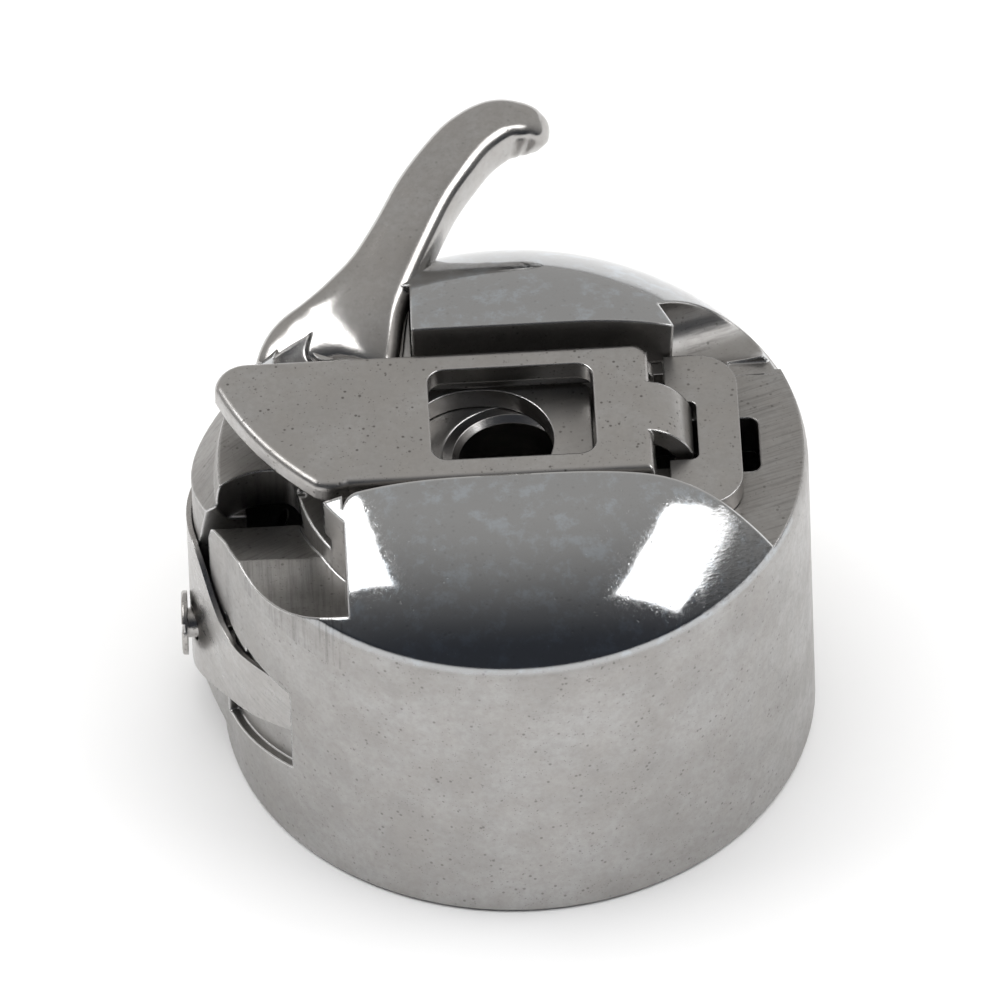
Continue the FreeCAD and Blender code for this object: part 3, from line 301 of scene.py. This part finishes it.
def body_marks(nodes, place):
    """Cutter marks: along the right end of the channel and its run-out, and in the notch."""
    x, y, z = nodes.parts(place)
    notch = nodes.times(nodes.span(x, *NOTCH_RIGHT, 1.0, 0.0),
                        nodes.between(z, NOTCH_LOW, NOTCH_HIGH))
    scoop = nodes.times(notch, nodes.span(y, *SCOOP_REAR, 1.0, 0.0))
    ramp = nodes.times(notch, nodes.span(y, *SCOOP_REAR))
    end = nodes.times(nodes.span(x, *RUN_OUT_LEFT), nodes.between(z, RUN_OUT_LOW, RUN_OUT_HIGH))
    upright = lines_along(nodes, 0, (7.0, 0.3, 0.3))
    across = lines_along(nodes, RAMP_TURN, (0.4, 9.0, 0.4))
    run_out = lines_along(nodes, RUN_OUT_TURN, (0.35, 8.0, 8.0))
    groove = nodes.plus(nodes.times(upright, scoop), nodes.times(across, ramp),
                        nodes.times(run_out, end))
    return groove, nodes.math("ADD", nodes.plus(scoop, ramp), end, clamp=True)


def polished_lands(nodes, place):
    """The domed lands are polished; flat faces and the cutter's run-out between them aren't."""
    x, y, z = nodes.parts(place)
    facing = nodes.add("ShaderNodeNewGeometry").outputs["Normal"]
    facing_x, facing_y, facing_z = nodes.parts(facing)
    high = nodes.span(z, *LAND_LOW)
    beside = nodes.span(nodes.math("ABSOLUTE", y), *LAND_START)
    upward = nodes.span(facing_z, 0.05, 0.2)
    sideways = nodes.math("SUBTRACT", nodes.times(facing_y, x), nodes.times(facing_x, y))
    turned = nodes.span(nodes.math("ABSOLUTE", sideways), 0.7, 1.1, 1.0, 0.0)
    level = nodes.span(facing_z, 0.985, 0.998, 1.0, 0.0)
    crown = nodes.math("MAXIMUM", level, nodes.span(z, *LAND_CROWN))
    return nodes.times(high, beside, upward, turned, crown)


def paint_all(objects):
    """Each CAD node's own finish."""
    finishes = {
        "case_body": steel("satin_body_steel", 0.38, 0.34, 0.50, marks=body_marks,
                           polish=polished_lands, edge=0.20),
        "center_stud": steel("turned_stud_steel", 0.46, 0.20, 0.3, 0.2, everywhere(0.4, 0.4, 9.0)),
        "position_finger": steel("ground_finger_steel", 0.42, 0.16, 0.25, 0.25, edge=0.12),
        "finger_rivets": steel("peened_rivet_steel", 0.44, 0.32, 0.4),
        "latch_slide": steel("tumbled_slide_steel", 0.43, 0.33, 0.6, edge=0.10),
        "latch_plunger": steel("turned_plunger_steel", 0.45, 0.28, 0.2, 0.3,
                               everywhere(9.0, 0.4, 0.4)),
        "latch_lever": steel("tumbled_lever_steel", 0.44, 0.31, 0.75, 0.3, edge=0.14),
        "hinge_pin": steel("ground_pin_steel", 0.48, 0.24, 0.3, 0.3, everywhere(2.0, 9.0, 2.0)),
        "latch_spring": steel("spring_wire_steel", 0.38, 0.30, 0.2, edge=0.02),
        "tension_spring": steel("rolled_leaf_steel", 0.46, 0.27, 0.35, 0.25,
                                everywhere(0.5, 0.5, 7.0)),
        "tension_adjusting_screw": steel("turned_screw_steel", 0.46, 0.22, 0.4),
        "tension_fixing_screw": steel("turned_fixing_screw_steel", 0.46, 0.23, 0.4),
    }
    for name, material in finishes.items():
        mesh = objects[name].data
        mesh.materials.clear()
        mesh.materials.append(material)
    return finishes


# ---------------------------------------------------------------- meshes
def skin(rings, sides, flip=False):
    """Faces round a row of rings and across its two ends; flip turns them over."""
    faces = []
    for n in range(rings - 1):
        low, high = n * sides, (n + 1) * sides
        for k in range(sides):
            j = (k + 1) % sides
            quad = (low + k, low + j, high + j, high + k)
            faces.append(quad[:1] + quad[:0:-1] if flip else quad)
    ends = (range(sides)[::-1], range((rings - 1) * sides, rings * sides))
    return faces + [tuple(end[::-1] if flip else end) for end in ends]


def solid(name, verts, faces, material):
    mesh = bpy.data.meshes.new(name)
    mesh.from_pydata(verts, [], faces)
    mesh.validate()
    mesh.shade_smooth()
    mesh.set_sharp_from_angle(angle=SHARP_ANGLE)
    mesh.materials.append(material)
    piece = bpy.data.objects.new(name, mesh)
    bpy.context.scene.collection.objects.link(piece)
    return piece


# ---------------------------------------------------------------- position finger
def spline(points, share):
    """Catmull-Rom point at share 0..1 along rows of numbers."""
    spans = len(points) - 1
    where = min(share * spans, spans - 1e-6)
    i = int(where)
    t = where - i
    a, b = points[max(i - 1, 0)], points[i]
    c, d = points[i + 1], points[min(i + 2, spans)]
    return [0.5 * (2 * q + (r - p) * t + (2 * p - 5 * q + 4 * r - s) * t * t
                   + (3 * q - p - 3 * r + s) * t ** 3) for p, q, r, s in zip(a, b, c, d)]


def finger_mesh(corner):
    """Horn lofted through rounded sections, its root flared out over the foot."""
    rings, verts = [], []
    for n in range(FINGER_RINGS + 1):
        x, y, z, wide, tall = spline(FINGER_ROWS, n / FINGER_RINGS)
        rings.append((corner + Vector((x, y, z)) * MM, wide * MM, tall * MM))
    for n, (centre, wide, tall) in enumerate(rings):
        forward = rings[min(n + 1, FINGER_RINGS)][0] - rings[max(n - 1, 0)][0]
        side = forward.cross(Vector((0, 0, 1))).normalized()
        up = side.cross(forward).normalized()
        for k in range(FINGER_SIDES):
            turn = 2 * math.pi * k / FINGER_SIDES
            c, s = math.cos(turn), math.sin(turn)
            u = math.copysign(abs(c) ** (2 / FINGER_SQUARENESS), c)
            v = math.copysign(abs(s) ** (2 / FINGER_SQUARENESS), s)
            verts.append(centre + side * (u * wide) + up * (v * tall))
    return verts, skin(len(rings), FINGER_SIDES)


def foot_mesh(low):
    """Foot beside the channel: a hollowed front that sweeps up into the horn's root."""
    steps = range(FOOT_STEPS + 1)
    verts, faces = [], []
    for i in steps:
        along = i / FOOT_STEPS
        x = low.x + (FOOT_RIGHT * MM - low.x) * along
        reach = (FOOT_DEPTH * (1 - (1 - along) ** 2) + FOOT_LEFT_DEPTH) * MM
        rise = FOOT_RISE * (FOOT_LEFT_RISE + (1 - FOOT_LEFT_RISE) * along)
        tops = [FOOT_FRONT + rise * (j / FOOT_STEPS) ** FOOT_HOLLOW for j in steps]
        for heights in (tops, [0] * len(tops)):
            for j, height in enumerate(heights):
                verts.append(Vector((x, low.y + reach * j / FOOT_STEPS, low.z + height * MM)))
    under = FOOT_STEPS + 1
    row = 2 * under
    for i in range(FOOT_STEPS):
        for j in range(FOOT_STEPS):
            a, b = i * row + j, (i + 1) * row + j
            faces.append((a, b, b + 1, a + 1))
            faces.append((a + under, a + under + 1, b + under + 1, b + under))
        a, b = i * row, (i + 1) * row
        faces.append((a, a + under, b + under, b))
        a, b = a + FOOT_STEPS, b + FOOT_STEPS
        faces.append((a, b, b + under, a + under))
    left = [(j, j + 1, j + 1 + under, j + under) for j in range(FOOT_STEPS)]
    right = [tuple(FOOT_STEPS * row + v for v in reversed(face)) for face in left]
    return verts, faces + left + right


def finger(material):
    """Horn and foot in place of the plain CAD finger."""
    low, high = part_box("position_finger")
    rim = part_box("case_body")[1].y
    corner = Vector((0, rim - FINGER_INSET * MM, high.z - (FINGER_TOP + FINGER_INSET) * MM))
    verts, faces = finger_mesh(corner)
    foot_verts, foot_faces = foot_mesh(low)
    count = len(verts)
    faces += [tuple(i + count for i in face) for face in foot_faces]
    piece = solid("finger_horn", verts + foot_verts, faces, material)
    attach(piece, "case")
    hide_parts("position_finger")


# ---------------------------------------------------------------- latch spring
def coil(material):
    """Coil wound along the plain CAD spring's box, in place of that spring."""
    low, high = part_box("latch_spring")
    wire = COIL_WIRE * MM
    radius = (high.z - low.z) / 2 - wire
    middle = (low + high) / 2
    start, end = low.x + wire, high.x - wire
    count = COIL_TURNS * COIL_STEPS
    verts = []
    for n in range(count + 1):
        turn = 2 * math.pi * n / COIL_STEPS
        out = Vector((0, math.sin(turn), math.cos(turn)))
        centre = Vector((start + (end - start) * n / count, middle.y, middle.z)) + out * radius
        for k in range(COIL_SIDES):
            a = 2 * math.pi * k / COIL_SIDES
            verts.append(centre + out * (math.cos(a) * wire) + Vector((math.sin(a) * wire, 0, 0)))
    faces = skin(count + 1, COIL_SIDES, flip=True)
    piece = solid("latch_coil", verts, faces, material)
    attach(piece, "case")
    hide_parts("latch_spring")
    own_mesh(piece)


# ---------------------------------------------------------------- studio
FLOOR_HALF = 3.0                     # metres
FLOOR_GREYS = ((0.90, 0.90, 0.90, 1), (0.92, 0.92, 0.92, 1))
ROOM_DARK = (0.050, 0.055, 0.066, 1)
ROOM_PALE = (0.60, 0.59, 0.575, 1)
BACKDROP = (0.93, 0.93, 0.93, 1)     # what the camera sees past the floor


def floor():
    """Wide pale floor under the mouth's rim."""
    half = FLOOR_HALF
    mesh = bpy.data.meshes.new("studio_floor")
    corners = [(-half, -half, 0), (half, -half, 0), (half, half, 0), (-half, half, 0)]
    mesh.from_pydata(corners, [], [(0, 1, 2, 3)])
    sheet = bpy.data.objects.new("studio_floor", mesh)
    bpy.context.scene.collection.objects.link(sheet)
    material = bpy.data.materials.new("pale_floor")
    material.use_nodes = True
    nodes = Nodes(material.node_tree)
    mottle = nodes.noise(nodes.add("ShaderNodeTexCoord").outputs["Object"], 6.0, 2.0)
    colour = nodes.blend(mottle, *FLOOR_GREYS)
    shader = nodes.add("ShaderNodeBsdfPrincipled", {"Base Color": colour, "Roughness": 0.8,
                                                    "Specular IOR Level": 0.1})
    nodes.add("ShaderNodeOutputMaterial", {"Surface": shader.outputs["BSDF"]})
    mesh.materials.append(material)


def direction(azimuth, elevation):
    a, e = math.radians(azimuth), math.radians(elevation)
    return Vector((math.cos(e) * math.cos(a), math.cos(e) * math.sin(a), math.sin(e)))


def softbox(name, azimuth, elevation, width, height, power, distance=0.6, glossy=True):
    """A square-edged panel of light that faces the object: degrees, metres and watts."""
    light = bpy.data.lights.new(name, "AREA")
    light.shape = "RECTANGLE"
    light.size = width
    light.size_y = height
    light.energy = power
    lamp = bpy.data.objects.new(name, light)
    bpy.context.scene.collection.objects.link(lamp)
    towards = direction(azimuth, elevation)
    turn = towards.to_track_quat("Z", "Y").to_matrix().to_4x4()
    lamp.matrix_world = Matrix.Translation(VIEW_TARGET + towards * distance) @ turn
    lamp.visible_glossy = glossy
    lamp.visible_camera = False


def surroundings():
    """Grey room: paler behind the object, dark where the camera stands."""
    world = bpy.data.worlds.new("studio_room")
    bpy.context.scene.world = world
    world.use_nodes = True
    nodes = Nodes(world.node_tree)
    aim = nodes.add("ShaderNodeTexCoord").outputs["Generated"]
    level = nodes.span(nodes.dot(aim, direction(90, 25)), -0.35, 0.75)
    room = nodes.blend(level, ROOM_DARK, ROOM_PALE)
    seen = nodes.add("ShaderNodeLightPath").outputs["Is Camera Ray"]
    colour = nodes.blend(seen, room, BACKDROP)
    back = nodes.add("ShaderNodeBackground", {"Color": colour, "Strength": 1.0})
    nodes.add("ShaderNodeOutputWorld", {"Surface": back.outputs["Background"]})


def lights():
    softbox("softbox_left", 172, 50, 0.36, 0.20, 1.0)
    softbox("softbox_right", -8, 48, 0.38, 0.26, 1.1)
    softbox("floor_wash", 0, 90, 1.6, 1.6, 14.0, distance=1.2, glossy=False)


# ---------------------------------------------------------------- camera
def camera():
    """The view turns with the object, so its axes are worked out in the object's own frame."""
    turn = Matrix.Rotation(-VIEW_TURN, 3, "Z")
    right = Vector((1, 0, 0))
    up = Vector((0, math.sin(VIEW_ELEVATION), math.cos(VIEW_ELEVATION)))
    back = Vector((0, -math.cos(VIEW_ELEVATION), math.sin(VIEW_ELEVATION)))
    place = VIEW_TARGET + back * VIEW_DISTANCE + right * VIEW_RIGHT + up * VIEW_UP
    rolled_right = right * math.cos(VIEW_ROLL) + up * math.sin(VIEW_ROLL)
    rolled_up = up * math.cos(VIEW_ROLL) - right * math.sin(VIEW_ROLL)
    data = bpy.data.cameras.new("studio_camera")
    data.sensor_width = SENSOR_MM
    data.lens = SENSOR_MM * VIEW_DISTANCE / FIELD_WIDTH
    data.clip_start = 0.05
    data.clip_end = 20.0
    view = bpy.data.objects.new("studio_camera", data)
    bpy.context.scene.collection.objects.link(view)
    axes = Matrix((turn @ rolled_right, turn @ rolled_up, turn @ back)).transposed()
    view.matrix_world = Matrix.Translation(turn @ place) @ axes.to_4x4()
    bpy.context.scene.camera = view


# ---------------------------------------------------------------- the scene
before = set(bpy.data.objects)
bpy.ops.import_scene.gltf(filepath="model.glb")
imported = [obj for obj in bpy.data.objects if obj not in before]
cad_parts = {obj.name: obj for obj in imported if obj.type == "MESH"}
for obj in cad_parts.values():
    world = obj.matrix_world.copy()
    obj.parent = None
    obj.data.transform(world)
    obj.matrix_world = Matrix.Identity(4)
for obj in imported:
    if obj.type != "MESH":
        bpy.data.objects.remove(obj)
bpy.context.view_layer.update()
finishes = paint_all(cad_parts)
finger(finishes["position_finger"])
coil(finishes["latch_spring"])
floor()
surroundings()
lights()
camera()
bpy.context.scene.view_settings.view_transform = "Standard"
